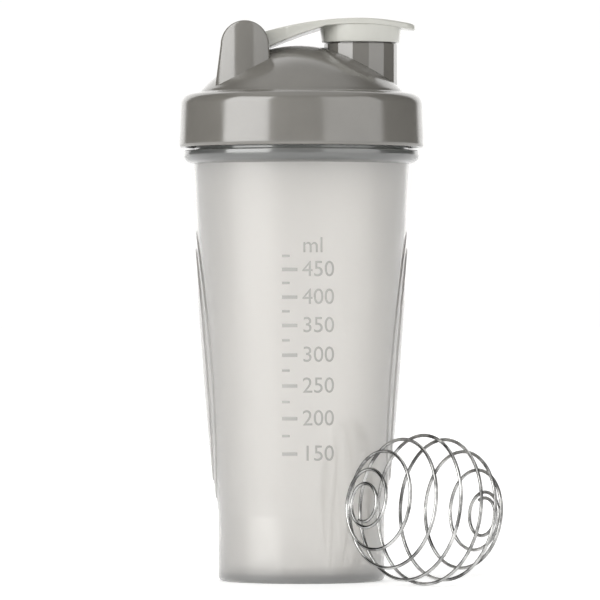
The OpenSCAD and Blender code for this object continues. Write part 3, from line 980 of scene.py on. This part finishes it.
CAMERA_AT, CAMERA_LENS = (-0.0006, -2.283, 0.1106), 347.0
camera_data = bpy.data.cameras.new("camera")
camera_data.lens = CAMERA_LENS
camera_data.sensor_width = 36.0
camera_data.dof.use_dof = False
camera = linked("camera", camera_data)
camera.location = CAMERA_AT
camera.rotation_euler = (math.pi / 2, 0, 0)
scene.camera = camera

scene.view_settings.view_transform = "Standard"


SURROUNDINGS, BACKDROP, OVERHEAD, SEEN_WHITE = 0.04, 1.5, 0.6, 1.02
BACKDROP_EDGE, OVERHEAD_EDGE = (30, 40), (22, 45)
BOX_LOW, BOX_HIGH, BOX_SOFT = -20, 46, 7
# (centre, half width, softness, strength) of each upright soft box
BOXES = [(-55, 24, 2, 3.8), (52, 31, 3, 1.4), (-5, 26, 3, 0.35)]


def studio():
    """Studio light as a world: soft boxes, a white backdrop behind and a softer light overhead.

    Directions are degrees round the object from the front (-Y), positive towards +X, and degrees
    above the floor. The camera itself sees plain white.
    """
    world = bpy.data.worlds.new("studio")
    scene.world = world
    world.use_nodes = True
    tree = world.node_tree
    tree.nodes.clear()

    def math_node(kind, a, b=None):
        node = tree.nodes.new("ShaderNodeMath")
        node.operation = kind
        for socket, value in zip(node.inputs, (a, b)):
            if value is None:
                continue
            if isinstance(value, (int, float)):
                socket.default_value = value
            else:
                tree.links.new(value, socket)
        return node.outputs[0]

    def soft_step(value, low, high):
        """1 below low, 0 above high."""
        node = tree.nodes.new("ShaderNodeMapRange")
        node.interpolation_type = "SMOOTHSTEP"
        for name, number in (("From Min", low), ("From Max", high), ("To Min", 1.0), ("To Max", 0.0)):
            node.inputs[name].default_value = number
        tree.links.new(value, node.inputs["Value"])
        return node.outputs["Result"]

    coords = tree.nodes.new("ShaderNodeTexCoord")
    split = tree.nodes.new("ShaderNodeSeparateXYZ")
    tree.links.new(coords.outputs["Generated"], split.inputs[0])
    x, y, z = split.outputs
    around = math_node("MULTIPLY", math_node("ARCTAN2", x, math_node("MULTIPLY", y, -1.0)), 180 / math.pi)
    above = math_node("MULTIPLY", math_node("ARCSINE", z), 180 / math.pi)

    def box(centre, half, soft, strength):
        across = math_node("ABSOLUTE", math_node("SUBTRACT", around, centre))
        upright = math_node("ABSOLUTE", math_node("SUBTRACT", above, (BOX_LOW + BOX_HIGH) / 2))
        tall = (BOX_HIGH - BOX_LOW) / 2
        mask = math_node("MULTIPLY", soft_step(across, half - soft, half + soft),
                         soft_step(upright, tall - BOX_SOFT, tall + BOX_SOFT))
        return math_node("MULTIPLY", mask, strength)

    behind = math_node("SUBTRACT", 180.0, math_node("ABSOLUTE", around))
    overhead = soft_step(math_node("SUBTRACT", 90.0, above), *OVERHEAD_EDGE)
    backdrop = math_node("MULTIPLY", soft_step(behind, *BACKDROP_EDGE),
                         math_node("SUBTRACT", 1.0, overhead))
    total = math_node("ADD", SURROUNDINGS, math_node("MULTIPLY", backdrop, BACKDROP))
    total = math_node("ADD", total, math_node("MULTIPLY", overhead, OVERHEAD))
    for sizes in BOXES:
        total = math_node("ADD", total, box(*sizes))

    seen = tree.nodes.new("ShaderNodeLightPath").outputs["Is Camera Ray"]
    light = tree.nodes.new("ShaderNodeBackground")
    tree.links.new(total, light.inputs["Strength"])
    white = tree.nodes.new("ShaderNodeBackground")
    white.inputs["Strength"].default_value = SEEN_WHITE
    for node in (light, white):
        node.inputs["Color"].default_value = (1.0, 0.995, 0.985, 1)
    mix = tree.nodes.new("ShaderNodeMixShader")
    tree.links.new(seen, mix.inputs["Fac"])
    tree.links.new(light.outputs[0], mix.inputs[1])
    tree.links.new(white.outputs[0], mix.inputs[2])
    out = tree.nodes.new("ShaderNodeOutputWorld")
    tree.links.new(mix.outputs[0], out.inputs["Surface"])


studio()


def floor():
    """A pale disc that runs to the horizon, a hair below the foot so that no faces coincide."""
    level, segments, radii = -0.05, 96, (100, 300, 1000, 4000, 20000)
    turns = [TAU * i / segments for i in range(segments)]
    verts, faces = [(0, 0, level)], []
    for r in radii:
        verts += [(r * math.cos(a), r * math.sin(a), level) for a in turns]
    for i in range(segments):
        n = (i + 1) % segments
        faces.append((0, 1 + i, 1 + n))
        for k in range(len(radii) - 1):
            a, b = 1 + segments * k, 1 + segments * (k + 1)
            faces.append((a + i, b + i, b + n, a + n))
    mesh = metre_mesh("floor", verts, faces)
    obj = linked("floor", mesh)
    mat, tree, shader, coords = nodes_of("pale_floor")
    tone = two_tone(tree, noise(tree, coords, 3), (0.93, 0.93, 0.93), (0.95, 0.95, 0.95))
    tree.links.new(tone, shader.inputs["Base Color"])
    shader.inputs["Roughness"].default_value = 0.7
    shader.inputs["Emission Color"].default_value = (1, 1, 1, 1)
    shader.inputs["Emission Strength"].default_value = 0.36
    mesh.materials.append(mat)


floor()
